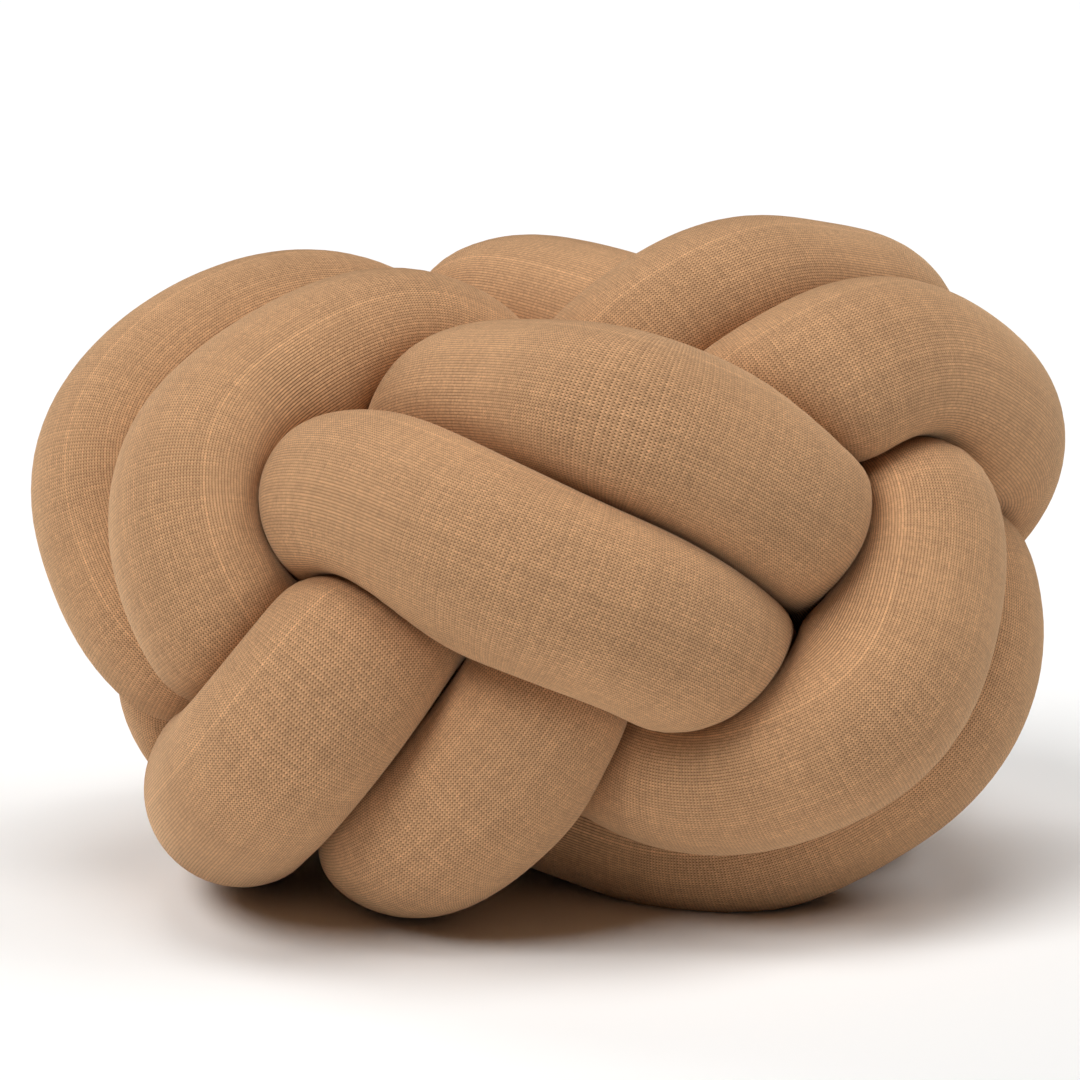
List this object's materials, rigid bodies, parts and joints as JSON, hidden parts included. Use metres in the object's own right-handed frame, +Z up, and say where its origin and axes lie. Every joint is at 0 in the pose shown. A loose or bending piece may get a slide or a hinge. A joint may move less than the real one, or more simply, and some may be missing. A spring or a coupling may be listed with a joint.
{
  "type": "knot cushion",
  "caption": "Soft knitted cushion: a long stuffed tube woven into a tight rounded knot, its strands lying in pairs.",
  "frame": {"origin": "on the ground under the middle of the knot's box", "axes": "+X to the right along the knot's width, -Y to the front, +Z up"},
  "size_m": [0.5986, 0.5014, 0.3879],
  "materials": {
    "knitted_cloth": "matte"
  },
  "bodies": {
    "root": {"knotted_tube": "knitted_cloth"}
  },
  "joints": []
}
